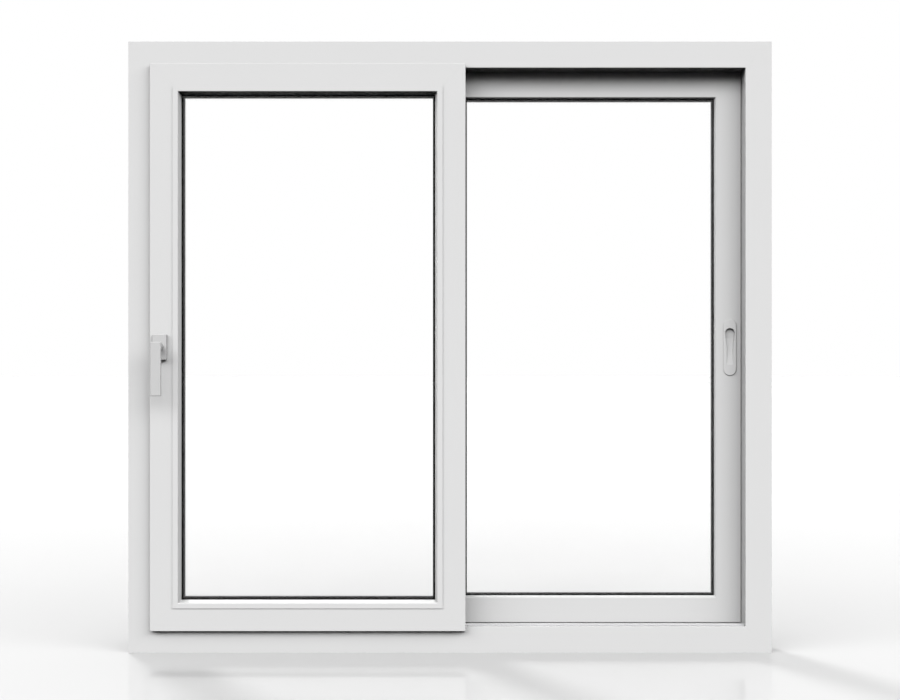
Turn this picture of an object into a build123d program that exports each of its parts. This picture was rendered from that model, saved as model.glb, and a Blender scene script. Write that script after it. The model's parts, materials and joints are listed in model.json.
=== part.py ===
from build123d import *
import os

os.makedirs("parts", exist_ok=True)

# Sliding window of white PVC-U with two sashes on two parallel tracks, shown closed.
# Millimetres. X to the right, Y from the room to the outside, Z up.
# The origin is the middle of the underside of the sill.
# Sections are drawn as (inset, depth). The inset goes from a bar's outer edge towards the glass.
# The depth goes from the face that has the lip, or on the frame from the room face.

# Outer frame
FRAME_WIDTH = 1500.0
FRAME_HEIGHT = 1425.0
FRAME_DEPTH = 96.0
FRAME_FACE = 61.0
OUTER_WALL = 2.8
WEB = 2.0
EDGE_BEVEL = 0.7
TRACK_INSET = 14.0
TRACK_SLOT = (4.0, 5.0)
CLIP_GROOVE = (4.0, 10.0, 20.0)
FRAME_STEEL = (40.0, 40.0, 2.0)
STEEL_INSET = 9.0

# Sash bars: width of the face, depth, and the lip that laps over the frame
SASH_DEPTH = 60.0
SASH_SIGHT = 72.0
LIP = 9.5
LIP_DEPTH = 14.0
LIP_LAP = 8.0
LIP_GAP = 2.0
SEAL_SLOT = (4.0, 7.5, 11.5)
PLATFORM = 53.0
LEG_DEPTH = 51.0
GROOVE = (22.0, 38.0, 23.0)
SASH_STEEL = (12.0, 34.0, 1.5)
MEETING_HALF = 36.0

# Glazing: two panes with a spacer between them
PANE = 4.0
GLASS_ROOM = 23.5
GLASS_GAP = 16.0
GLASS_EDGE = 58.5
BEAD_PROUD = 2.0
BEAD_BACK = 20.0
BEAD_SIGHT = 70.5
BEAD_SLANT = 5.0
CLIP_SLOT = (5.0, 8.0, 2.5)
GASKET_TIP = 73.0
SPACER_SIGHT = 76.0

# Running gear
RAIL_TOP = 66.0
RAIL_BEAD_RADIUS = 2.0
RAIL_STEM = 3.0
RUNNING_GAP = 0.3
ROLLER_RADIUS = 8.0
ROLLER_WIDTH = 5.0
AXLE_RADIUS = 1.5
AXLE_FIT = 0.05
CARRIAGE_LENGTH = 60.0
CARRIAGE_STEEL = 1.6
CHEEK_GAP = 0.5
ROLLER_FROM_CENTRE = 276.5
GUIDE_LENGTH = 40.0
TRAVEL = 590.0
STOP_GAP = 2.0
STOP_LENGTH = 30.0

# Handle and lock
HANDLE_INSET = 24.0
COVER = (33.0, 60.0, 11.0)
LEVER = (23.5, 124.0, 10.0)
LEVER_ABOVE_PIVOT = 12.0
LEVER_FRONT = 60.0
NECK_RADIUS = 9.0
SPINDLE = 7.0
SCREW_PITCH = 43.0
ROD_TRAVEL = 18.0
CAM_HEIGHTS = (300.0, 1125.0)
CAM_PIN_RADIUS = 2.2
CAM_HEAD_RADIUS = 4.6
CAM_HEAD = 2.0
KEEP_PLATE = 1.5
KEEP_SPAN = (-22.0, 40.0)
KEEP_POCKET = (-8.0, 27.0)
GEARBOX_HALF = 60.0
SPINDLE_OPENING = 10.8
HANDLE_SCREW = 2.2
HANDLE_SCREW_DEPTH = 16.0
BASE = (28.0, 55.0, 4.0)

# Recessed pull on the outside sash
PULL = (31.0, 134.5)
PULL_PROUD = 2.8
PULL_X = 661.0
SCOOP_TOP = 33.4
SCOOP_RADIUS = 11.8
SCOOP_NECK = (-4.4, 7.5)
SCOOP_END = -42.0
SCOOP_DEPTH = 9.0

# Fixing holes through the jambs, and the punched slots behind them in the steels
FIXING_RADIUS = 3.1
FIXING_PITCH = 525.0
STEEL_SLOT = (12.0, 20.0)

# Drain slots in the sill
DRAIN_X = 420.0
DRAIN_SLOT = (30.0, 4.0)
DRAIN_LOW = 24.0
DRAIN_OUTLET = 5.0

# Places that follow from the sizes above
OPENING_X = FRAME_WIDTH / 2 - FRAME_FACE
OPENING_BOTTOM = FRAME_FACE
OPENING_TOP = FRAME_HEIGHT - FRAME_FACE
MID_Z = FRAME_HEIGHT / 2
FRONT_Y = -FRAME_DEPTH / 2
TRACK_Y = (FRONT_Y + TRACK_INSET, -FRONT_Y - TRACK_INSET)
SASH_OUTER_X = OPENING_X + LIP_LAP
SASH_HALF_WIDTH = (SASH_OUTER_X + MEETING_HALF) / 2
SASH_HALF_HEIGHT = (OPENING_TOP - OPENING_BOTTOM) / 2 + LIP_LAP
SASH_CENTRE_X = (SASH_OUTER_X - MEETING_HALF) / 2
SASH_FACE_Y = FRONT_Y - LIP_GAP - LIP_DEPTH
SASH_BACK_Y = SASH_FACE_Y + SASH_DEPTH
BODY_CLEAR = LIP - LIP_LAP
GROOVE_WIDTH = GROOVE[1] - GROOVE[0]
GROOVE_FLOOR = BODY_CLEAR + GROOVE[2] - LIP
RAIL_BEAD_Z = RAIL_TOP - RAIL_BEAD_RADIUS
ROLLER_Z = RAIL_TOP + RUNNING_GAP + ROLLER_RADIUS
HANDLE_X = -SASH_OUTER_X + HANDLE_INSET
STOP_X = -SASH_CENTRE_X + ROLLER_FROM_CENTRE + GUIDE_LENGTH / 2 + TRAVEL + STOP_GAP
SILL, RIGHT, HEAD, LEFT = 0, 1, 2, 3


def block(x, y, z):
    """Box given by its lower and upper limits along each axis."""
    size = (x[1] - x[0], y[1] - y[0], z[1] - z[0])
    middle = ((x[0] + x[1]) / 2, (y[0] + y[1]) / 2, (z[0] + z[1]) / 2)
    return Pos(*middle) * Box(*size)


def rod(radius, start, end, axis="Y", at=(0, 0)):
    """Cylinder between two places on an axis; at gives the other two coordinates in order."""
    middle, length = (start + end) / 2, abs(end - start)
    if axis == "X":
        return Pos(middle, at[0], at[1]) * Rot(0, 90, 0) * Cylinder(radius, length)
    if axis == "Y":
        return Pos(at[0], middle, at[1]) * Rot(90, 0, 0) * Cylinder(radius, length)
    return Pos(at[0], at[1], middle) * Cylinder(radius, length)


def outline(points, bevelled=()):
    """Flat closed outline; the corners listed as bevelled have their sharp edge taken off."""
    face = make_face(Polyline(*points, close=True))
    for corner in bevelled:
        vertex = face.vertices().sort_by_distance(Vector(*corner))[0]
        face = chamfer(vertex, EDGE_BEVEL)
    return face


def chamber(low, high):
    """Rectangular hollow of a section between two opposite corners."""
    middle = ((low[0] + high[0]) / 2, (low[1] + high[1]) / 2)
    return Pos(*middle) * Rectangle(abs(high[0] - low[0]), abs(high[1] - low[1]))


def mirrored(points, depth):
    """The same places seen from the other face of a section of this depth."""
    return [(inset, depth - place) for inset, place in points]


def frame_section():
    """Section of the outer frame, the same seen from the room and from the outside."""
    slot_half, slot_floor = TRACK_SLOT[0] / 2, FRAME_FACE - TRACK_SLOT[1]
    clip_depth, clip_low, clip_high = CLIP_GROOVE
    near = [
        (0, 0), (FRAME_FACE, 0),
        (FRAME_FACE, TRACK_INSET - slot_half), (slot_floor, TRACK_INSET - slot_half),
        (slot_floor, TRACK_INSET + slot_half), (FRAME_FACE, TRACK_INSET + slot_half),
    ]
    clip = [(0, clip_high), (clip_depth, clip_high), (clip_depth, clip_low), (0, clip_low)]
    points = near + mirrored(near, FRAME_DEPTH)[::-1] + mirrored(clip, FRAME_DEPTH)[::-1] + clip
    section = outline(points, [(FRAME_FACE, 0), (FRAME_FACE, FRAME_DEPTH)])
    floor, top = clip_depth + OUTER_WALL, FRAME_FACE - OUTER_WALL
    middle, shelf, side = 30.0, slot_floor - 2 * WEB, 25.0
    slot_side = slot_half + WEB
    for low, high in (
        ((floor, OUTER_WALL), (middle, side)),
        ((middle + WEB, OUTER_WALL), (shelf, side)),
        ((shelf + WEB, OUTER_WALL), (top, TRACK_INSET - slot_side)),
        ((shelf + WEB, TRACK_INSET + slot_side), (top, side)),
    ):
        section -= chamber(low, high)
        section -= chamber(*mirrored((low, high), FRAME_DEPTH))
    steel_side = (FRAME_DEPTH - FRAME_STEEL[1]) / 2 - 0.5
    return section - chamber((floor, steel_side), (top, FRAME_DEPTH - steel_side))


def sash_section():
    """Section of a sash bar: lip and hardware groove outside, glazing rebate inside."""
    seal_low, seal_high, seal_floor = SEAL_SLOT
    clip_near, clip_far, clip_depth = CLIP_SLOT
    points = [
        (0, 0), (PLATFORM, 0), (PLATFORM, clip_near), (PLATFORM - clip_depth, clip_near),
        (PLATFORM - clip_depth, clip_far), (PLATFORM, clip_far), (PLATFORM, LEG_DEPTH),
        (SASH_SIGHT, LEG_DEPTH), (SASH_SIGHT - 2, SASH_DEPTH - 2), (SASH_SIGHT - 4, SASH_DEPTH),
        (LIP, SASH_DEPTH), (LIP, GROOVE[1]), (GROOVE[2], GROOVE[1]), (GROOVE[2], GROOVE[0]),
        (LIP, GROOVE[0]), (LIP, LIP_DEPTH), (seal_high, LIP_DEPTH), (seal_high, seal_floor),
        (seal_low, seal_floor), (seal_low, LIP_DEPTH), (0, LIP_DEPTH),
    ]
    section = outline(points, [(0, 0), (LIP, SASH_DEPTH)])
    inner, steel_low, steel_high = 35.0, 37.0, PLATFORM - 2.5
    steel_near, steel_far = 12.5, 47.5
    back = SASH_DEPTH - OUTER_WALL
    for low, high in (
        ((OUTER_WALL, OUTER_WALL), (LIP - 1, seal_floor - 2.5)),
        ((LIP + OUTER_WALL, OUTER_WALL), (inner, GROOVE[0] - WEB)),
        ((GROOVE[2] + WEB, GROOVE[0]), (inner, GROOVE[1])),
        ((LIP + OUTER_WALL, GROOVE[1] + WEB), (inner, back)),
        ((steel_low, steel_near), (steel_high, steel_far)),
        ((steel_low, OUTER_WALL), (steel_high - 2.5, steel_near - WEB)),
        ((steel_low, steel_far + WEB), (steel_high, back)),
        ((PLATFORM, LEG_DEPTH + 2.5), (SASH_SIGHT - 4, back)),
    ):
        section -= chamber(low, high)
    return section


def bead_section():
    """Snap-in glazing bead: flat face, slanted inner face, one chamber, a foot for the clip slot."""
    slant = BEAD_SIGHT - BEAD_SLANT
    slant_end = BEAD_BACK - 4
    foot_near, foot_far = CLIP_SLOT[0] + 0.3, CLIP_SLOT[1] - 0.3
    foot = PLATFORM - CLIP_SLOT[2] + 0.3
    points = [
        (PLATFORM, -BEAD_PROUD), (slant, -BEAD_PROUD), (BEAD_SIGHT, slant_end), (BEAD_SIGHT, BEAD_BACK),
        (PLATFORM, BEAD_BACK), (PLATFORM, foot_far), (foot, foot_far), (foot, foot_near),
        (PLATFORM, foot_near),
    ]
    section = outline(points, [(slant, -BEAD_PROUD)])
    wall = 2.0
    hollow = outline([(PLATFORM + wall, 1.0), (slant - wall, 1.0), (BEAD_SIGHT - 3, slant_end),
                      (BEAD_SIGHT - 3, BEAD_BACK - wall), (PLATFORM + wall, BEAD_BACK - wall)])
    return section - hollow


def gasket_section(low, high, lean):
    """Glazing gasket between two depths; lean moves its pointed lip towards the glass."""
    foot, shoulder = SASH_SIGHT - 10, GASKET_TIP - 1.5
    middle = (low + high) / 2
    tip = (GASKET_TIP, middle + lean)
    return outline([(foot, low), (shoulder, low), tip, (shoulder, high), (foot, high)])


def lip_seal_section():
    """Seal in the slot of the lip, with a bulb that stands a hair off the frame's face."""
    low, high, floor = SEAL_SLOT
    fit = 0.3
    reach = LIP_DEPTH + LIP_GAP - RUNNING_GAP
    foot = chamber((low + fit, floor + fit), (high - fit, LIP_DEPTH))
    bulb = outline([(low - 0.6, LIP_DEPTH), (high + 0.6, LIP_DEPTH), (high - 0.9, reach), (low + 0.9, reach)])
    return foot + bulb


def spacer_section():
    """Warm-edge spacer with its sealant, filling the edge of the gap between the panes."""
    low = GLASS_ROOM + PANE
    return chamber((GLASS_EDGE, low), (SPACER_SIGHT, low + GLASS_GAP))


def bar(section, side, half_width, half_height, mitred=True, cut_back=0.0):
    """One bar of a rectangle about the origin, from a section in (inset, depth)."""
    upright = side in (RIGHT, LEFT)
    half_length, offset = (half_height, half_width) if upright else (half_width, half_height)
    plane = Plane(origin=(half_length - cut_back, 0, -offset), x_dir=(0, 0, 1), z_dir=(-1, 0, 0))
    solid = extrude(plane * section, 2 * (half_length - cut_back))
    if mitred:
        reach = 2 * SASH_SIGHT
        trim = make_face(Polyline((-half_length, -offset), (half_length, -offset),
                                  (half_length - reach, -offset + reach),
                                  (-half_length + reach, -offset + reach), close=True))
        solid = solid & extrude(Plane.XZ * trim, FRAME_DEPTH * 2, both=True)
    return Rot(0, -90 * side, 0) * solid


def ring(section, half_width, half_height):
    """Closed rectangle of one section, mitred and joined at the corners."""
    bars = [bar(section, side, half_width, half_height) for side in (SILL, RIGHT, HEAD, LEFT)]
    return bars[0].fuse(*bars[1:])


def tube_section(low, size, wall):
    """Square-cornered tube with its low corner at (inset, depth) and outer size likewise."""
    high = (low[0] + size[0], low[1] + size[1])
    return chamber(low, high) - chamber((low[0] + wall, low[1] + wall), (high[0] - wall, high[1] - wall))


def channel_section(low, size, wall):
    """Channel like the tube, but open towards the glass."""
    high = (low[0] + size[0], low[1] + size[1])
    return chamber(low, high) - chamber((low[0] + wall, low[1] + wall), (high[0], high[1] - wall))


def in_frame(shape):
    """Moves a piece from the frame's own centre and face into place."""
    return Pos(0, FRONT_Y, MID_Z) * shape


def in_sash(shape, inner):
    """Puts a piece of a sash in place: inner has its lip to the room, outer to the outside."""
    if inner:
        return Pos(-SASH_CENTRE_X, SASH_FACE_Y, MID_Z) * shape
    return Pos(SASH_CENTRE_X, -SASH_FACE_Y, MID_Z) * mirror(shape, about=Plane.XZ)


def write(name, *solids):
    """Writes one node, as one solid or as a group of separate solids."""
    pieces = [solid for item in solids for solid in item.solids()]
    shape = pieces[0] if len(pieces) == 1 else Compound(children=pieces)
    export_step(shape, os.path.join("parts", name + ".step"))


def fixing_heights():
    """Heights of the three fixing holes in each jamb."""
    return [MID_Z + place * FIXING_PITCH for place in (-1, 0, 1)]


def drill_jamb(jamb):
    """Drills the fixing holes along X through a jamb."""
    for height in fixing_heights():
        jamb -= rod(FIXING_RADIUS, -FRAME_WIDTH, FRAME_WIDTH, "X", (0, height))
    return jamb


def punch_steel(steel):
    """Punches the slots that the fixing screws pass in the channels of the jambs."""
    half_y, half_z = STEEL_SLOT[0] / 2, STEEL_SLOT[1] / 2
    for height in fixing_heights():
        steel -= block((-FRAME_WIDTH, FRAME_WIDTH), (-half_y, half_y), (height - half_z, height + half_z))
    return steel


def cut_drains(sill):
    """Drain slots: down beside the outer rail and out through the outside face."""
    half, inner = DRAIN_SLOT[0] / 2, TRACK_Y[1] + TRACK_SLOT[0] + WEB - 0.5
    for centre in (-DRAIN_X, DRAIN_X):
        span = (centre - half, centre + half)
        sill -= block(span, (inner, inner + DRAIN_SLOT[1]), (DRAIN_LOW, OPENING_BOTTOM + 1))
        sill -= block(span, (inner + OUTER_WALL, -FRONT_Y + 1), (DRAIN_LOW, DRAIN_LOW + DRAIN_OUTLET))
    return sill


def cut_keep_pockets(jamb):
    """Recess for each keep plate, and the deeper pocket that the cam's head runs in."""
    face = -OPENING_X
    for height in CAM_HEIGHTS:
        recess = [height + place for place in KEEP_SPAN]
        pocket = [height + place for place in KEEP_POCKET]
        jamb -= block((face - KEEP_PLATE, face + 1), (TRACK_Y[0] - 9, TRACK_Y[0] + 9), recess)
        jamb -= block((face - TRACK_SLOT[1], face), (TRACK_Y[0] - 7, TRACK_Y[0] + 7), pocket)
    return jamb


def make_frame():
    """Four mitred bars of the frame with their steel channels."""
    section = frame_section()
    half_width, half_height = FRAME_WIDTH / 2, FRAME_HEIGHT / 2
    bars = [in_frame(bar(section, side, half_width, half_height)) for side in (SILL, RIGHT, HEAD, LEFT)]
    write("frame_sill", cut_drains(bars[SILL]))
    write("frame_jamb_right", drill_jamb(bars[RIGHT]))
    write("frame_head", bars[HEAD])
    write("frame_jamb_left", cut_keep_pockets(drill_jamb(bars[LEFT])))
    width, depth, wall = FRAME_STEEL
    steel = channel_section((STEEL_INSET, (FRAME_DEPTH - depth) / 2), (width, depth), wall)
    steels = [in_frame(bar(steel, side, half_width, half_height, False, FRAME_FACE + 2))
              for side in (SILL, RIGHT, HEAD, LEFT)]
    write("frame_reinforcements", *[punch_steel(piece) for piece in steels])


def make_tracks():
    """Rails on the sill, and the rubber stops in the slots of the head."""
    half_slot, half_stem = TRACK_SLOT[0] / 2 - 0.2, RAIL_STEM / 2
    floor, roof = OPENING_BOTTOM - TRACK_SLOT[1], OPENING_TOP + TRACK_SLOT[1]
    reach = OPENING_X - 0.5
    rails, stops = [], []
    for track_y, side in zip(TRACK_Y, (1, -1)):
        across = (track_y - half_slot, track_y + half_slot)
        foot = block((-reach, reach), across, (floor, OPENING_BOTTOM))
        stem = block((-reach, reach), (track_y - half_stem, track_y + half_stem),
                     (OPENING_BOTTOM, RAIL_BEAD_Z))
        rails.append(foot + stem + rod(RAIL_BEAD_RADIUS, -reach, reach, "X", (track_y, RAIL_BEAD_Z)))
        span = sorted((side * STOP_X, side * (STOP_X + STOP_LENGTH)))
        stop = block(span, across, (OPENING_TOP, roof))
        stops.append(chamfer(stop.edges().filter_by(Axis.Y).group_by(Axis.Z)[0], 0.8))
    write("track_rails", *rails)
    write("slot_stops", *stops)


def make_drain_caps():
    """Hoods over the drain outlets, open underneath."""
    caps = []
    half, proud, wall = DRAIN_SLOT[0] / 2 + 5, 4.0, 1.5
    face, low, high = -FRONT_Y, DRAIN_LOW - 5, DRAIN_LOW + DRAIN_OUTLET + 5
    for centre in (-DRAIN_X, DRAIN_X):
        hood = block((centre - half, centre + half), (face, face + proud), (low, high))
        hood = chamfer(hood.edges().group_by(Axis.Y)[-1].sort_by(Axis.Z)[-1], 2.5)
        hood -= block((centre - half + wall, centre + half - wall), (face - 1, face + proud - wall),
                      (low - 1, high - 2 * wall))
        caps.append(hood)
    write("drain_caps", *caps)


def make_keeps():
    """Keeps in the left jamb: wide opening above, narrow slot for the locked cam."""
    keeps = []
    face, fit = -OPENING_X, 0.2
    head_half, pin_half = CAM_HEAD_RADIUS + 0.9, CAM_PIN_RADIUS + 0.6
    through = (face - KEEP_PLATE - 1, face + 1)
    for height in CAM_HEIGHTS:
        ends = (height + KEEP_SPAN[0] + fit, height + KEEP_SPAN[1] - fit)
        open_z = height + ROD_TRAVEL
        plate = block((face - KEEP_PLATE, face), (TRACK_Y[0] - 9 + fit, TRACK_Y[0] + 9 - fit), ends)
        plate -= block(through, (TRACK_Y[0] - head_half, TRACK_Y[0] + head_half),
                       (open_z - head_half, open_z + head_half))
        plate -= block(through, (TRACK_Y[0] - pin_half, TRACK_Y[0] + pin_half), (height - pin_half, open_z))
        keeps.append(plate)
    write("lock_keeps", *keeps)


def make_sash_bars(name, stile_names, inner, fit_stile, fit_bottom):
    """Four mitred bars and their steels; fit_stile and fit_bottom cut the pockets."""
    section = sash_section()
    sizes = (SASH_HALF_WIDTH, SASH_HALF_HEIGHT)
    bars = {side: bar(section, side, *sizes) for side in (SILL, RIGHT, HEAD, LEFT)}
    placed = {side: in_sash(shape, inner) for side, shape in bars.items()}
    write(name + "_sash_bottom_rail", fit_bottom(placed[SILL]))
    write(name + "_sash_top_rail", placed[HEAD])
    lock_side, meeting_side = (LEFT, RIGHT) if inner else (RIGHT, LEFT)
    write(name + "_sash_" + stile_names[0], fit_stile(placed[lock_side]))
    write(name + "_sash_" + stile_names[1], placed[meeting_side])
    width, depth, wall = SASH_STEEL
    steel = tube_section((38.0, 13.0), (width, depth), wall)
    steels = [in_sash(bar(steel, side, *sizes, False, PLATFORM + 5), inner) for side in range(4)]
    write(name + "_reinforcements", *steels)


def make_glazing(name, inner):
    """Beads, panes, spacer, gaskets, lip seal and glazing blocks of one sash."""
    sizes = (SASH_HALF_WIDTH, SASH_HALF_HEIGHT)
    bead = bead_section()
    beads = [in_sash(bar(bead, side, *sizes), inner) for side in range(4)]
    write(name + "_beads_level", beads[SILL], beads[HEAD])
    write(name + "_beads_upright", beads[RIGHT], beads[LEFT])
    half_x, half_z = SASH_HALF_WIDTH - GLASS_EDGE, SASH_HALF_HEIGHT - GLASS_EDGE
    near, far = ("room", "outside") if inner else ("outside", "room")
    for label, depth in ((near, GLASS_ROOM), (far, GLASS_ROOM + PANE + GLASS_GAP)):
        pane = block((-half_x, half_x), (depth, depth + PANE), (-half_z, half_z))
        write(name + "_pane_" + label, in_sash(pane, inner))
    unit_back = GLASS_ROOM + 2 * PANE + GLASS_GAP
    write(name + "_spacer", in_sash(ring(spacer_section(), *sizes), inner))
    bead_gasket = ring(gasket_section(BEAD_BACK, GLASS_ROOM, 0.4), *sizes)
    write(name + "_bead_gasket", in_sash(bead_gasket, inner))
    leg_gasket = ring(gasket_section(unit_back, LEG_DEPTH, -0.4), *sizes)
    write(name + "_leg_gasket", in_sash(leg_gasket, inner))
    write(name + "_lip_seal", in_sash(ring(lip_seal_section(), *sizes), inner))
    write(name + "_glazing_blocks", *[in_sash(piece, inner) for piece in glazing_blocks()])


def glazing_blocks():
    """Two blocks under the glass and one at each upright edge."""
    gap = GLASS_EDGE - PLATFORM
    low, high = 0.1, gap - 0.1
    depth = (GLASS_ROOM + 0.5, GLASS_ROOM + 2 * PANE + GLASS_GAP - 0.5)
    base = -SASH_HALF_HEIGHT + PLATFORM
    blocks = [block((place - 50, place + 50), depth, (base + low, base + high)) for place in (-210, 210)]
    edge = SASH_HALF_WIDTH - PLATFORM
    blocks.append(block((edge - high, edge - low), depth, (380, 480)))
    blocks.append(block((-edge + low, -edge + high), depth, (-480, -380)))
    return blocks


def make_running_gear(name, inner):
    """Roller carriages in the bottom groove, their rollers, and nylon guides in the top groove."""
    centre_x = -SASH_CENTRE_X if inner else SASH_CENTRE_X
    track_y = TRACK_Y[0] if inner else TRACK_Y[1]
    places = (centre_x - ROLLER_FROM_CENTRE, centre_x + ROLLER_FROM_CENTRE)
    write(name + "_roller_carriages", *[carriage(place, track_y) for place in places])
    for label, place in zip(("left", "right"), places):
        write(name + "_wheel_" + label, roller(place, track_y))
    write(name + "_top_guides", *[top_guide(place, track_y) for place in places])


def carriage(x, y):
    """Steel carriage: a top plate, two cheeks that reach past the rail's bead, a riveted axle."""
    half_plate = GROOVE_WIDTH / 2 - 0.3
    inner = ROLLER_WIDTH / 2 + CHEEK_GAP
    outer = inner + CARRIAGE_STEEL
    low, high = OPENING_BOTTOM + BODY_CLEAR + 1, ROLLER_Z + ROLLER_RADIUS + 2
    ends = (x - CARRIAGE_LENGTH / 2, x + CARRIAGE_LENGTH / 2)
    shell = block(ends, (y - half_plate, y + half_plate), (high - CARRIAGE_STEEL, high))
    for cheek in ((y - outer, y - inner), (y + inner, y + outer)):
        shell += block(ends, cheek, (low, high))
    return shell + rod(AXLE_RADIUS, y - outer, y + outer, "Y", (x, ROLLER_Z))


def roller(x, y):
    """Plain nylon roller that turns about its axle on top of the rail's bead."""
    half = ROLLER_WIDTH / 2
    wheel = rod(ROLLER_RADIUS, y - half, y + half, "Y", (x, ROLLER_Z))
    return wheel - rod(AXLE_RADIUS + AXLE_FIT, y - half - 1, y + half + 1, "Y", (x, ROLLER_Z))


def top_guide(x, y):
    """Nylon block in the top groove, with a tongue that runs in the slot of the head."""
    half, across = GUIDE_LENGTH / 2, GROOVE_WIDTH / 2 - 0.2
    tongue, rise = TRACK_SLOT[0] / 2 - 0.4, 10.5
    floor = OPENING_TOP - GROOVE_FLOOR
    guide = block((x - half, x + half), (y - across, y + across), (floor, floor + rise))
    guide = chamfer(guide.edges().filter_by(Axis.Y).group_by(Axis.Z)[-1], 1.5)
    blade = block((x - half, x + half), (y - tongue, y + tongue),
                  (floor + rise / 2, OPENING_TOP + TRACK_SLOT[1] - 0.6))
    blade = chamfer(blade.edges().filter_by(Axis.Y).group_by(Axis.Z)[-1], 1.5)
    return guide + blade


def make_interlocks():
    """Hooked aluminium strips that catch in each other when both sashes are shut."""
    inner_face, outer_face = SASH_BACK_Y, -SASH_BACK_Y
    wall, stem, tip, foot = 1.4, 5.0, -4.0, 26.0
    low, high = OPENING_BOTTOM + 6, OPENING_TOP - 6
    inner_tip = inner_face + 4.6
    inner_hook = [(stem, inner_face), (foot, inner_face), (foot, inner_face + wall),
                  (stem + wall, inner_face + wall), (stem + wall, inner_tip), (tip, inner_tip),
                  (tip, inner_tip - wall), (stem, inner_tip - wall)]
    outer_tip = inner_face + 0.6
    outer_hook = [(-stem, outer_face), (-foot, outer_face), (-foot, outer_face - wall),
                  (-stem - wall, outer_face - wall), (-stem - wall, outer_tip), (-tip, outer_tip),
                  (-tip, outer_tip + wall), (-stem, outer_tip + wall)]
    for name, hook in (("inner_interlock", inner_hook), ("outer_interlock", outer_hook)):
        section = make_face(Polyline(*hook, close=True))
        write(name, Pos(0, 0, low) * extrude(section, high - low))


def fit_lock_stile(stile):
    """Pocket for the gearbox, and the openings for spindle and screws, in the inner lock stile."""
    groove_floor = -SASH_OUTER_X + GROOVE[2]
    groove_y = (SASH_FACE_Y + GROOVE[0], SASH_FACE_Y + GROOVE[1])
    stile -= block((groove_floor - 1, groove_floor + WEB + 1), groove_y,
                   (MID_Z - GEARBOX_HALF - 3, MID_Z + GEARBOX_HALF + 3))
    stile -= spindle_opening(SASH_FACE_Y - 1, groove_y[1])
    for height in handle_screw_heights():
        stile -= rod(HANDLE_SCREW + 0.2, SASH_FACE_Y - 1, SASH_FACE_Y + OUTER_WALL, "Y", (HANDLE_X, height))
    return stile


def spindle_opening(near, far):
    """Square opening that the turning spindle passes with room at its corners."""
    half = SPINDLE_OPENING / 2
    return block((HANDLE_X - half, HANDLE_X + half), (near, far), (MID_Z - half, MID_Z + half))


def handle_screw_heights():
    """Heights of the two screws that hold the handle."""
    return [MID_Z - SCREW_PITCH / 2, MID_Z + SCREW_PITCH / 2]


def fit_rollers(inner):
    """Gives the cut that opens the bottom groove above each roller carriage."""
    centre_x = -SASH_CENTRE_X if inner else SASH_CENTRE_X
    track_y = TRACK_Y[0] if inner else TRACK_Y[1]
    floor = OPENING_BOTTOM + GROOVE_FLOOR
    half, across = CARRIAGE_LENGTH / 2 + 1, GROOVE_WIDTH / 2

    def cut(rail):
        for place in (centre_x - ROLLER_FROM_CENTRE, centre_x + ROLLER_FROM_CENTRE):
            rail -= block((place - half, place + half), (track_y - across, track_y + across),
                          (floor - 1, floor + WEB + 1))
        return rail

    return cut


def make_lock():
    """Faceplate, gearbox, drive rod and mushroom cams in the groove of the lock stile."""
    edge = -SASH_OUTER_X + LIP
    groove_y = TRACK_Y[0]
    sheet, fit = 2.5, 0.3
    plate_x = (edge + fit, edge + fit + sheet)
    half_plate, half_slot, half_rod = GROOVE_WIDTH / 2 - 0.2, CAM_PIN_RADIUS + 0.6, 5.0
    plate = block(plate_x, (groove_y - half_plate, groove_y + half_plate), (140, FRAME_HEIGHT - 140))
    for height in CAM_HEIGHTS:
        plate -= block((plate_x[0] - 1, plate_x[1] + 1), (groove_y - half_slot, groove_y + half_slot),
                       (height - half_slot, height + ROD_TRAVEL + half_slot))
    write("lock_faceplate", plate)
    rod_x = (plate_x[1] + fit, plate_x[1] + fit + sheet)
    write("lock_drive_rod", block(rod_x, (groove_y - half_rod, groove_y + half_rod),
                                  (180, FRAME_HEIGHT - 180)))
    tip = -OPENING_X - TRACK_SLOT[1] + 0.5
    cams = []
    for height in CAM_HEIGHTS:
        head = Pos(tip + CAM_HEAD / 2, groove_y, height) * Rot(0, 90, 0)
        head = head * Cone(CAM_HEAD_RADIUS, CAM_PIN_RADIUS, CAM_HEAD)
        cams.append(head + rod(CAM_PIN_RADIUS, tip + CAM_HEAD, rod_x[0], "X", (groove_y, height)))
    write("lock_cams", *cams)
    box = block((rod_x[1] + fit, -SASH_OUTER_X + 34.5), (groove_y - 7, groove_y + 7),
                (MID_Z - GEARBOX_HALF, MID_Z + GEARBOX_HALF))
    write("lock_gearbox", box - spindle_opening(groove_y - 8, groove_y + 8))


def make_handle():
    """Fixed base and screws, the rosette cover, then the turning lever and its spindle."""
    face = SASH_FACE_Y
    width, height, depth = BASE
    base = block((HANDLE_X - width / 2, HANDLE_X + width / 2), (face - depth, face),
                 (MID_Z - height / 2, MID_Z + height / 2))
    base = chamfer(base.edges().filter_by(Axis.Y), 3)
    base -= spindle_opening(face - depth - 1, face + 1)
    screws = []
    rise = 2.5
    for place in handle_screw_heights():
        base -= rod(HANDLE_SCREW + 0.2, face - depth - 1, face + 1, "Y", (HANDLE_X, place))
        hexagon = extrude(Plane.XZ * RegularPolygon(2 * HANDLE_SCREW, 6), rise)
        head = Pos(HANDLE_X, face - depth, place) * hexagon
        shank = rod(HANDLE_SCREW, face - depth, face + HANDLE_SCREW_DEPTH, "Y", (HANDLE_X, place))
        screws.append(head + shank)
    write("handle_base", base)
    write("handle_screws", *screws)
    write("handle_cover", rosette(face))
    make_lever(face)


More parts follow.
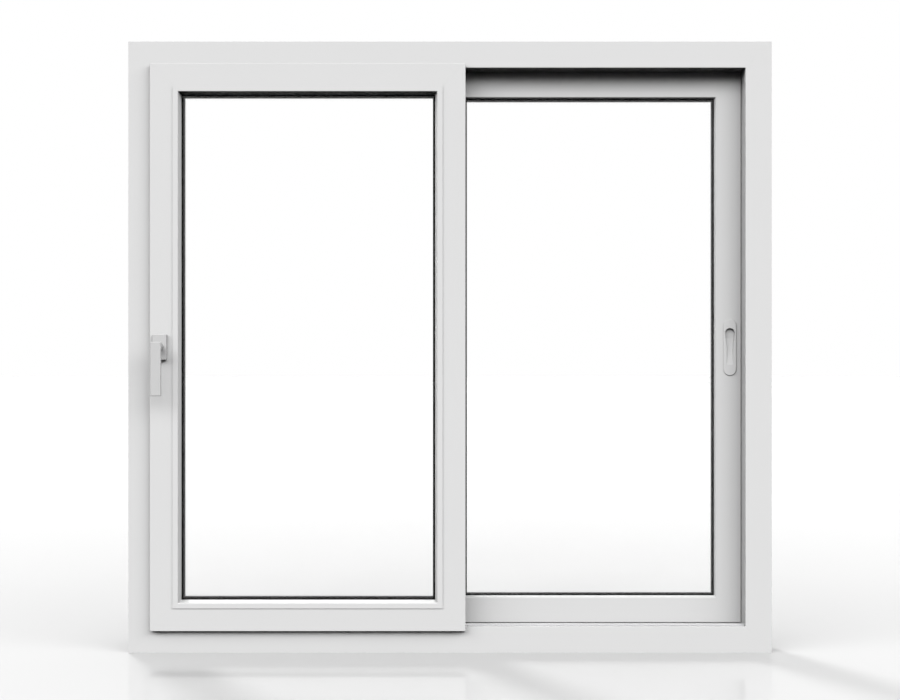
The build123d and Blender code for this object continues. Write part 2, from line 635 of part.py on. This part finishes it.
def rosette(face):
    """Hollow cover over the base, with a round hole for the lever's neck."""
    width, height, depth = COVER
    wall = 1.8
    cover = block((HANDLE_X - width / 2, HANDLE_X + width / 2), (face - depth, face),
                  (MID_Z - height / 2, MID_Z + height / 2))
    cover = fillet(cover.edges().filter_by(Axis.Y), 2.5)
    cover = chamfer(cover.faces().sort_by(Axis.Y)[0].edges(), 1.2)
    cover -= block((HANDLE_X - width / 2 + wall, HANDLE_X + width / 2 - wall),
                   (face - depth + wall, face + 1),
                   (MID_Z - height / 2 + wall, MID_Z + height / 2 - wall))
    return cover - rod(NECK_RADIUS + RUNNING_GAP, face - depth - 1, face, "Y", (HANDLE_X, MID_Z))


def make_lever(face):
    """Flat lever with a round neck, and the square spindle that fits in the neck."""
    width, length, thickness = LEVER
    top = MID_Z + LEVER_ABOVE_PIVOT
    lever_y = (face - LEVER_FRONT, face - LEVER_FRONT + thickness)
    lever = block((HANDLE_X - width / 2, HANDLE_X + width / 2), lever_y, (top - length, top))
    lever = fillet(lever.edges().filter_by(Axis.Y), 2)
    lever = chamfer(lever.faces().sort_by(Axis.Y)[0].edges(), 1.2)
    lever = chamfer(lever.faces().sort_by(Axis.Y)[-1].edges(), 0.8)
    lever += rod(NECK_RADIUS, lever_y[1], face - BASE[2] - 0.5, "Y", (HANDLE_X, MID_Z))
    spindle_y = (lever_y[1] + 14, TRACK_Y[0] + 6)
    socket, half = SPINDLE / 2 + 0.1, SPINDLE / 2
    lever -= block((HANDLE_X - socket, HANDLE_X + socket), (spindle_y[0] - 1, face),
                   (MID_Z - socket, MID_Z + socket))
    write("handle_lever", lever)
    spindle = block((HANDLE_X - half, HANDLE_X + half), spindle_y, (MID_Z - half, MID_Z + half))
    write("handle_spindle", spindle)


def scoop_outline(grow):
    """Teardrop of the pull's scoop, seen from the room, made larger all round by grow."""
    neck_z, neck_half = SCOOP_NECK
    half, wide, end = neck_half + grow, SCOOP_RADIUS + grow, SCOOP_END - grow
    drop = outline([(-half, neck_z), (-half, end), (half, end), (half, neck_z), (wide, SCOOP_TOP),
                    (-wide, SCOOP_TOP)])
    return drop + Pos(0, SCOOP_TOP) * Circle(wide)


def scoop(face, grow, sink):
    """Scoop as a solid: full depth at the top, rising to the face at the lower end."""
    room_side, deepest = face - 1, face + SCOOP_DEPTH + sink
    top = SCOOP_TOP + SCOOP_RADIUS + grow
    side = outline([(room_side, top), (deepest, top), (deepest, SCOOP_TOP - SCOOP_RADIUS),
                    (face + sink, SCOOP_END), (room_side, SCOOP_END)])
    across = extrude(Plane.YZ * side, SCOOP_RADIUS * 3, both=True)
    through = extrude(Plane.XZ * scoop_outline(grow), FRAME_DEPTH, both=True)
    return Pos(PULL_X, 0, MID_Z) * (across & through)


def make_pull():
    """Oblong plate with full-round ends and a sunken finger scoop behind it."""
    wall, rim = 1.5, 1.2
    sash_face = -SASH_BACK_Y
    face = sash_face - PULL_PROUD
    width, height = PULL
    plate = extrude(Plane.XZ * SlotOverall(height, width, rotation=90), PULL_PROUD)
    plate = Pos(PULL_X, sash_face, MID_Z) * plate
    plate = chamfer(plate.faces().sort_by(Axis.Y)[0].edges(), rim)
    behind = block((PULL_X - width, PULL_X + width), (sash_face - 0.5, sash_face + 2 * SCOOP_DEPTH),
                   (MID_Z - height, MID_Z + height))
    cup = scoop(face, wall, wall) & behind
    write("pull_handle", (plate + cup) - scoop(face, 0, 0))


def fit_pull(stile):
    """Routed pocket for the pull's cup in the outer sash's lock stile."""
    sash_face = -SASH_BACK_Y
    room = 2.5
    half = SCOOP_RADIUS + room
    return stile - block((PULL_X - half, PULL_X + half),
                         (sash_face - 1, sash_face + SCOOP_DEPTH - PULL_PROUD + 2.2),
                         (MID_Z + SCOOP_END - 3, MID_Z + SCOOP_TOP + SCOOP_RADIUS + room))


make_frame()
make_tracks()
make_drain_caps()
make_keeps()
make_sash_bars("inner", ("lock_stile", "meeting_stile"), True, fit_lock_stile, fit_rollers(True))
make_sash_bars("outer", ("lock_stile", "meeting_stile"), False, fit_pull, fit_rollers(False))
for sash, is_inner in (("inner", True), ("outer", False)):
    make_glazing(sash, is_inner)
    make_running_gear(sash, is_inner)
make_interlocks()
make_lock()
make_handle()
make_pull()
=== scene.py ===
import json
import math

import bmesh
import bpy
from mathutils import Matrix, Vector


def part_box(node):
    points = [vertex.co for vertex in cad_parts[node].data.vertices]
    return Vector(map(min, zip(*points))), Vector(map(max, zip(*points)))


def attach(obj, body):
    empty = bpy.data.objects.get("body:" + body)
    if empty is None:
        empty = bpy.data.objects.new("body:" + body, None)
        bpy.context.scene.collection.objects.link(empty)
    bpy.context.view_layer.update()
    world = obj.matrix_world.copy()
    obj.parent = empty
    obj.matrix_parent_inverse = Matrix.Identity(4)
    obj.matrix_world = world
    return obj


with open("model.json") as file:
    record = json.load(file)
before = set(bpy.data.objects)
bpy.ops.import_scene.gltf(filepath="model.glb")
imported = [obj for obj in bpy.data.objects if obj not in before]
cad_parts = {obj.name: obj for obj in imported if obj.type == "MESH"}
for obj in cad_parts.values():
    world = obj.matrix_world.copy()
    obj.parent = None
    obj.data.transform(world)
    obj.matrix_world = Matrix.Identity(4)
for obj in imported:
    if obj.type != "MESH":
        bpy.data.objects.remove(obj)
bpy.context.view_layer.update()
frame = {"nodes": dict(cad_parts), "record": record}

nodes = frame["nodes"]

# View: straight on from the room, a little below the middle of the window
CAMERA_DISTANCE = 3.8
CAMERA_HEIGHT = 0.706
FOCAL_PIXELS = 1630.0
FRAME_PIXELS = 900.0
SENSOR_MM = 36.0

FAR_CLIP = 200.0

# Colours, linear
PVC_WHITE = (0.80, 0.80, 0.80)
HANDLE_WHITE = (0.65, 0.65, 0.65)
PULL_WHITE = (0.77, 0.77, 0.77)
CAP_WHITE = (0.76, 0.76, 0.76)
NYLON_WHITE = (0.62, 0.62, 0.60)
RUBBER_BLACK = (0.006, 0.006, 0.006)
ZINC_GREY = (0.55, 0.56, 0.57)
STEEL_GREY = (0.5, 0.5, 0.5)
ALUMINIUM_GREY = (0.80, 0.80, 0.81)

# Radius in metres that softens the edges of plastic and metal in their shading
PLASTIC_EDGE = 0.0004
METAL_EDGE = 0.0003

# Floor: colour near the window, darker there as painted shade about the window's base, colour far
# from it, where one turns into the other, and the darker colour that only light bouncing off the
# floor meets
FLOOR_NEAR_SHADE = (0.79, 0.79, 0.79)
FLOOR_FAR = (0.90, 0.90, 0.90)
FLOOR_FADE = (0.6, 4.5)
FLOOR_BOUNCE = (0.04, 0.04, 0.04)
FLOOR_HALF = 40.0

# Dome: a strength for each part. A band has the limits on Y between which it sets in, and the
# limits on Z between which it rises and falls. The veil has its rise only.
FRONT_SKY = 3.87
FRONT_BAND = ((0.1, -0.4), (0.15, 0.45), (0.8, 0.65))
BACK_SKY = 0.7
BACK_BAND = ((-0.2, 0.3), (0.0, 0.15), (0.6, 0.3))
VEIL_SKY = 0.15
VEIL_RISE = (-0.02, 0.02)

# Lamp behind: strength, the way its light goes, and its apparent size in degrees
BACK_LAMP = 1.38
BACK_LAMP_RAYS = (0.33, -0.77, -0.545)
BACK_LAMP_ANGLE = 12.0

# Screw heads on the keeps, in metres. The cross recess grows shallower along its arms by a share.
# Heights are above the lower end of a keep, and turns are in radians, from the lowest screw up.
SCREW_RADIUS = 0.0032
SCREW_RISE = 0.0006
SCREW_SUNK = 0.0002
CROSS_DEPTH = 0.0005
CROSS_HALF_WIDTH = 0.0005
CROSS_REACH = 0.0019
CROSS_SHALLOWER = 0.6
SCREW_RINGS = 12
SCREW_SEGMENTS = 48
SAME_POINT = 0.000002
SCREW_HEIGHTS = (0.0048, 0.0568)
SCREW_TURNS = (0.3, 1.1, 0.7, 0.1)


def new_material(name):
    """Empty node material with a Principled shader joined to its output."""
    material = bpy.data.materials.new(name)
    material.use_nodes = True
    tree = material.node_tree
    tree.nodes.clear()
    output = tree.nodes.new("ShaderNodeOutputMaterial")
    shader = tree.nodes.new("ShaderNodeBsdfPrincipled")
    tree.links.new(shader.outputs["BSDF"], output.inputs["Surface"])
    return material, tree, shader


def object_coordinates(tree, stretch=(1.0, 1.0, 1.0)):
    """Object coordinates in metres, stretched along the axes."""
    coordinates = tree.nodes.new("ShaderNodeTexCoord")
    mapping = tree.nodes.new("ShaderNodeMapping")
    mapping.inputs["Scale"].default_value = stretch
    tree.links.new(coordinates.outputs["Object"], mapping.inputs["Vector"])
    return mapping.outputs["Vector"]


def noise(tree, vector, scale, detail=3.0):
    """Noise value between 0 and 1."""
    texture = tree.nodes.new("ShaderNodeTexNoise")
    texture.inputs["Scale"].default_value = scale
    texture.inputs["Detail"].default_value = detail
    tree.links.new(vector, texture.inputs["Vector"])
    return texture.outputs["Fac"]


def spread(tree, value, low, high):
    """Maps a value from 0.3 to 0.7 onto low to high."""
    node = tree.nodes.new("ShaderNodeMapRange")
    node.inputs["From Min"].default_value = 0.3
    node.inputs["From Max"].default_value = 0.7
    node.inputs["To Min"].default_value = low
    node.inputs["To Max"].default_value = high
    tree.links.new(value, node.inputs["Value"])
    return node.outputs["Result"]


def tint(tree, shader, colour, value, amount):
    """Varies the base colour a little about the given one."""
    ramp = tree.nodes.new("ShaderNodeMix")
    ramp.data_type = "RGBA"
    ramp.inputs["A"].default_value = tuple(c * (1 - amount) for c in colour) + (1,)
    ramp.inputs["B"].default_value = tuple(min(c * (1 + amount), 1) for c in colour) + (1,)
    tree.links.new(value, ramp.inputs["Factor"])
    tree.links.new(ramp.outputs["Result"], shader.inputs["Base Color"])


def relief(tree, shader, value, height, edge=0.0):
    """Bump of the given height in metres over edges softened by a small radius."""
    bump = tree.nodes.new("ShaderNodeBump")
    bump.inputs["Strength"].default_value = 1.0
    bump.inputs["Distance"].default_value = height
    tree.links.new(value, bump.inputs["Height"])
    if edge:
        bevel = tree.nodes.new("ShaderNodeBevel")
        bevel.samples = 4
        bevel.inputs["Radius"].default_value = edge
        tree.links.new(bevel.outputs["Normal"], bump.inputs["Normal"])
    tree.links.new(bump.outputs["Normal"], shader.inputs["Normal"])


def pvc_material(name, along):
    """White satin PVC-U with faint drawn lines along the extrusion and slight cloudiness."""
    material, tree, shader = new_material(name)
    stretch = {"X": (0.02, 1.0, 1.0), "Z": (1.0, 1.0, 0.02)}[along]
    lines = noise(tree, object_coordinates(tree, stretch), 700.0, 2.0)
    clouds = noise(tree, object_coordinates(tree), 9.0, 4.0)
    tint(tree, shader, PVC_WHITE, clouds, 0.008)
    tree.links.new(spread(tree, lines, 0.40, 0.50), shader.inputs["Roughness"])
    shader.inputs["Specular IOR Level"].default_value = 0.14
    relief(tree, shader, lines, 0.000004, PLASTIC_EDGE)
    return material


def moulded_material(name, colour, rough, grain, edge, gloss=0.5):
    """Moulded or powder-coated surface with a fine even grain."""
    material, tree, shader = new_material(name)
    vector = object_coordinates(tree)
    fine = noise(tree, vector, grain, 2.0)
    tint(tree, shader, colour, noise(tree, vector, 40.0), 0.02)
    tree.links.new(spread(tree, fine, rough - 0.05, rough + 0.05), shader.inputs["Roughness"])
    shader.inputs["Specular IOR Level"].default_value = gloss
    relief(tree, shader, fine, 0.000012, edge)
    return material


def rubber_material(name):
    """Black gasket rubber with a dull, slightly dusty skin."""
    material, tree, shader = new_material(name)
    vector = object_coordinates(tree)
    tint(tree, shader, RUBBER_BLACK, noise(tree, vector, 60.0), 0.3)
    tree.links.new(spread(tree, noise(tree, vector, 900.0), 0.45, 0.6), shader.inputs["Roughness"])
    shader.inputs["Specular IOR Level"].default_value = 0.06
    relief(tree, shader, noise(tree, vector, 1500.0), 0.00001)
    return material


def metal_material(name, colour, rough, stretch, height):
    """Bare metal with drawn or galvanised marks, depending on the stretch."""
    material, tree, shader = new_material(name)
    marks = noise(tree, object_coordinates(tree, stretch), 500.0)
    shader.inputs["Metallic"].default_value = 1.0
    tint(tree, shader, colour, marks, 0.05)
    tree.links.new(spread(tree, marks, rough - 0.08, rough + 0.08), shader.inputs["Roughness"])
    relief(tree, shader, marks, height, METAL_EDGE)
    return material


def glass_material(name):
    """Clear float glass; light passes it without a shadow."""
    material, tree, shader = new_material(name)
    output = next(node for node in tree.nodes if node.type == "OUTPUT_MATERIAL")
    clear = tree.nodes.new("ShaderNodeBsdfTransparent")
    path = tree.nodes.new("ShaderNodeLightPath")
    mix = tree.nodes.new("ShaderNodeMixShader")
    tree.links.new(path.outputs["Is Shadow Ray"], mix.inputs["Fac"])
    tree.links.new(shader.outputs["BSDF"], mix.inputs[1])
    tree.links.new(clear.outputs["BSDF"], mix.inputs[2])
    tree.links.new(mix.outputs["Shader"], output.inputs["Surface"])
    shader.inputs["Base Color"].default_value = (1.0, 1.0, 1.0, 1.0)
    shader.inputs["Transmission Weight"].default_value = 1.0
    shader.inputs["IOR"].default_value = 1.5
    shader.inputs["Specular IOR Level"].default_value = 0.02
    smudge = noise(tree, object_coordinates(tree), 14.0, 5.0)
    tree.links.new(spread(tree, smudge, 0.0, 0.004), shader.inputs["Roughness"])
    return material


def set_material(node, material):
    """Puts one material on every slot of a CAD node."""
    mesh_object = nodes[node]
    if not mesh_object.material_slots:
        mesh_object.data.materials.append(material)
    for place in mesh_object.material_slots:
        place.material = material


def screw_height(out, across, up):
    """Height of a screw head's face over its plate, at a distance out from its middle."""
    height = SCREW_RISE * math.sqrt(1 - (out / SCREW_RADIUS) ** 2)
    if out < CROSS_REACH and min(abs(across), abs(up)) < CROSS_HALF_WIDTH:
        height -= CROSS_DEPTH * (1 - out / CROSS_REACH * CROSS_SHALLOWER)
    return height


def screw_head(name, place, turn, material):
    """Low domed screw head with a cross recess, facing +X, its closed back in a keep's plate."""
    shape = bmesh.new()
    rows = []
    for ring in range(SCREW_RINGS + 1):
        out = SCREW_RADIUS * ring / SCREW_RINGS
        row = []
        for step in range(SCREW_SEGMENTS):
            angle = 2 * math.pi * step / SCREW_SEGMENTS
            across, up = out * math.cos(angle), out * math.sin(angle)
            height = screw_height(out, across, up) if ring < SCREW_RINGS else -SCREW_SUNK
            y = place[1] + (across * math.cos(turn) - up * math.sin(turn))
            z = place[2] + (across * math.sin(turn) + up * math.cos(turn))
            row.append(shape.verts.new((place[0] + height, y, z)))
        rows.append(row)
    for near, far in zip(rows, rows[1:]):
        for step in range(SCREW_SEGMENTS):
            after = (step + 1) % SCREW_SEGMENTS
            shape.faces.new((near[step], far[step], far[after], near[after]))
    shape.faces.new(rows[-1])
    bmesh.ops.remove_doubles(shape, verts=shape.verts, dist=SAME_POINT)
    bmesh.ops.recalc_face_normals(shape, faces=shape.faces)
    mesh = bpy.data.meshes.new(name)
    shape.to_mesh(mesh)
    shape.free()
    mesh.materials.append(material)
    head = bpy.data.objects.new(name, mesh)
    bpy.context.scene.collection.objects.link(head)
    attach(head, "frame")


def add_keep_screws(material):
    """Two screw heads on each keep in the left jamb."""
    low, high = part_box("lock_keeps")
    middle = (low.y + high.y) / 2
    near, far = SCREW_HEIGHTS
    heights = (low.z + near, low.z + far, high.z - far, high.z - near)
    for number, (height, turn) in enumerate(zip(heights, SCREW_TURNS), 1):
        screw_head("keep_screw_%d" % number, (high.x, middle, height), turn, material)


def dress():
    """Gives every CAD node its finish, and adds the screw heads on the keeps."""
    pvc_level = pvc_material("pvc_level", "X")
    pvc_upright = pvc_material("pvc_upright", "Z")
    rubber = rubber_material("gasket_rubber")
    spacer = moulded_material("spacer_black", RUBBER_BLACK, 0.5, 800.0, 0.0, 0.04)
    glass = glass_material("clear_glass")
    zinc = metal_material("zinc_steel", ZINC_GREY, 0.42, (0.4, 0.4, 0.4), 0.000008)
    screw = metal_material("screw_steel", STEEL_GREY, 0.35, (1.0, 1.0, 1.0), 0.000004)
    aluminium = metal_material("drawn_aluminium", ALUMINIUM_GREY, 0.34, (0.01, 1.0, 1.0), 0.000004)
    interlock = metal_material(
        "drawn_aluminium_upright", ALUMINIUM_GREY, 0.34, (1.0, 1.0, 0.01), 0.000004)
    handle = moulded_material("handle_powder_coat", HANDLE_WHITE, 0.36, 1400.0, PLASTIC_EDGE)
    pull = moulded_material("pull_plastic", PULL_WHITE, 0.32, 1600.0, PLASTIC_EDGE)
    nylon = moulded_material("nylon", NYLON_WHITE, 0.45, 1200.0, PLASTIC_EDGE)
    cap = moulded_material("drain_cap_plastic", CAP_WHITE, 0.42, 1400.0, PLASTIC_EDGE)
    by_slot = {
        "white_cap": cap, "white_handle": handle, "white_pull": pull, "black_gasket": rubber,
        "black_spacer": spacer, "clear_glass": glass, "zinc_steel": zinc, "screw_steel": screw,
        "aluminium": aluminium, "nylon": nylon,
    }
    add_keep_screws(screw)
    for part in frame["record"]["subparts"]:
        node, slot_name = part["node"], part["material_slot"]
        if slot_name == "white_pvc":
            upright = any(word in node for word in ("stile", "jamb", "upright"))
            set_material(node, pvc_upright if upright else pvc_level)
        elif node.endswith("interlock"):
            set_material(node, interlock)
        else:
            set_material(node, by_slot[slot_name])


def smooth(tree, value, start, end):
    """Smooth step from 0 at start to 1 at end, also when end is the lower one."""
    node = tree.nodes.new("ShaderNodeMapRange")
    node.interpolation_type = "SMOOTHSTEP"
    node.inputs["From Min"].default_value = start
    node.inputs["From Max"].default_value = end
    tree.links.new(value, node.inputs["Value"])
    return node.outputs["Result"]


def white_to_lens(tree, factor_socket):
    """Sets a factor to 1 for rays from the lens, directly, mirrored or through glass."""
    path = tree.nodes.new("ShaderNodeLightPath")
    seen = path.outputs["Is Camera Ray"]
    for name in ("Is Glossy Ray", "Is Transmission Ray"):
        highest = tree.nodes.new("ShaderNodeMath")
        highest.operation = "MAXIMUM"
        tree.links.new(seen, highest.inputs[0])
        tree.links.new(path.outputs[name], highest.inputs[1])
        seen = highest.outputs[0]
    tree.links.new(seen, factor_socket)


def floor_colour_and_painted_shade(tree):
    """Pale grey about the window, a painted shade about its base, that turns paler further out."""
    distance = tree.nodes.new("ShaderNodeVectorMath")
    distance.operation = "LENGTH"
    tree.links.new(object_coordinates(tree), distance.inputs[0])
    fade = tree.nodes.new("ShaderNodeMix")
    fade.data_type = "RGBA"
    # The near colour is darker as painted shade about the window's base
    fade.inputs["A"].default_value = FLOOR_NEAR_SHADE + (1,)
    fade.inputs["B"].default_value = FLOOR_FAR + (1,)
    tree.links.new(smooth(tree, distance.outputs["Value"], *FLOOR_FADE), fade.inputs["Factor"])
    return fade.outputs["Result"]


def make_floor():
    """Large pale floor with a slight gloss, which takes the window's soft shadow."""
    mesh = bpy.data.meshes.new("floor")
    signs = ((-1, -1), (1, -1), (1, 1), (-1, 1))
    corners = [(x * FLOOR_HALF, y * FLOOR_HALF, 0) for x, y in signs]
    mesh.from_pydata(corners, [], [(0, 1, 2, 3)])
    floor = bpy.data.objects.new("floor", mesh)
    bpy.context.scene.collection.objects.link(floor)
    material, tree, shader = new_material("floor_white")
    mix = tree.nodes.new("ShaderNodeMix")
    mix.data_type = "RGBA"
    mix.inputs["A"].default_value = FLOOR_BOUNCE + (1,)
    tree.links.new(floor_colour_and_painted_shade(tree), mix.inputs["B"])
    white_to_lens(tree, mix.inputs["Factor"])
    tree.links.new(mix.outputs["Result"], shader.inputs["Base Color"])
    shader.inputs["Roughness"].default_value = 0.08
    shader.inputs["Specular IOR Level"].default_value = 0.05
    mesh.materials.append(material)


def combine(tree, operation, first, second):
    """Joins two values, or a value and a number, with one operation."""
    node = tree.nodes.new("ShaderNodeMath")
    node.operation = operation
    for socket, item in zip(node.inputs, (first, second)):
        if isinstance(item, float):
            socket.default_value = item
        else:
            tree.links.new(item, socket)
    return node.outputs[0]


def band(tree, direction, facing, rise, fall):
    """Soft band of the sky: a range of heights on the side that the limits on Y give."""
    side = smooth(tree, direction["Y"], *facing)
    risen = combine(tree, "MULTIPLY", side, smooth(tree, direction["Z"], *rise))
    return combine(tree, "MULTIPLY", risen, smooth(tree, direction["Z"], *fall))


def make_world():
    """Dome: a wide soft light in front, a weak low one behind, a faint veil, none from below."""
    world = bpy.data.worlds.new("dome")
    bpy.context.scene.world = world
    world.use_nodes = True
    tree = world.node_tree
    tree.nodes.clear()
    output = tree.nodes.new("ShaderNodeOutputWorld")
    lit = tree.nodes.new("ShaderNodeBackground")
    seen = tree.nodes.new("ShaderNodeBackground")
    for background in (lit, seen):
        background.inputs["Color"].default_value = (1.0, 1.0, 1.0, 1.0)
    seen.inputs["Strength"].default_value = 1.0
    coordinates = tree.nodes.new("ShaderNodeTexCoord")
    parts = tree.nodes.new("ShaderNodeSeparateXYZ")
    tree.links.new(coordinates.outputs["Generated"], parts.inputs["Vector"])
    direction = parts.outputs
    front = combine(tree, "MULTIPLY", band(tree, direction, *FRONT_BAND), FRONT_SKY)
    back = combine(tree, "MULTIPLY", band(tree, direction, *BACK_BAND), BACK_SKY)
    veil = combine(tree, "MULTIPLY", smooth(tree, direction["Z"], *VEIL_RISE), VEIL_SKY)
    total = combine(tree, "ADD", combine(tree, "ADD", front, back), veil)
    tree.links.new(total, lit.inputs["Strength"])
    mix = tree.nodes.new("ShaderNodeMixShader")
    white_to_lens(tree, mix.inputs["Fac"])
    tree.links.new(lit.outputs["Background"], mix.inputs[1])
    tree.links.new(seen.outputs["Background"], mix.inputs[2])
    tree.links.new(mix.outputs["Shader"], output.inputs["Surface"])


def make_lamp():
    """Soft lamp behind on the left, for the shadow on the floor in front of the window."""
    data = bpy.data.lights.new("back", "SUN")
    data.energy = BACK_LAMP
    data.angle = math.radians(BACK_LAMP_ANGLE)
    lamp = bpy.data.objects.new("back", data)
    lamp.rotation_euler = Vector(BACK_LAMP_RAYS).to_track_quat("-Z", "Y").to_euler()
    bpy.context.scene.collection.objects.link(lamp)


def make_camera():
    """Level camera on the window's centre line."""
    data = bpy.data.cameras.new("camera")
    data.sensor_width = SENSOR_MM
    data.lens = FOCAL_PIXELS / FRAME_PIXELS * SENSOR_MM
    data.clip_end = FAR_CLIP
    camera = bpy.data.objects.new("camera", data)
    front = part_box("frame_sill")[0].y
    camera.location = (0.0, front - CAMERA_DISTANCE, CAMERA_HEIGHT)
    camera.rotation_euler = (math.radians(90.0), 0.0, 0.0)
    bpy.context.scene.collection.objects.link(camera)
    bpy.context.scene.camera = camera


make_camera()
dress()
make_floor()
make_world()
make_lamp()
bpy.context.scene.view_settings.view_transform = "Standard"
# White faces don't light each other in the photograph, so light bounces off no matt surface
bpy.context.scene.cycles.diffuse_bounces = 0
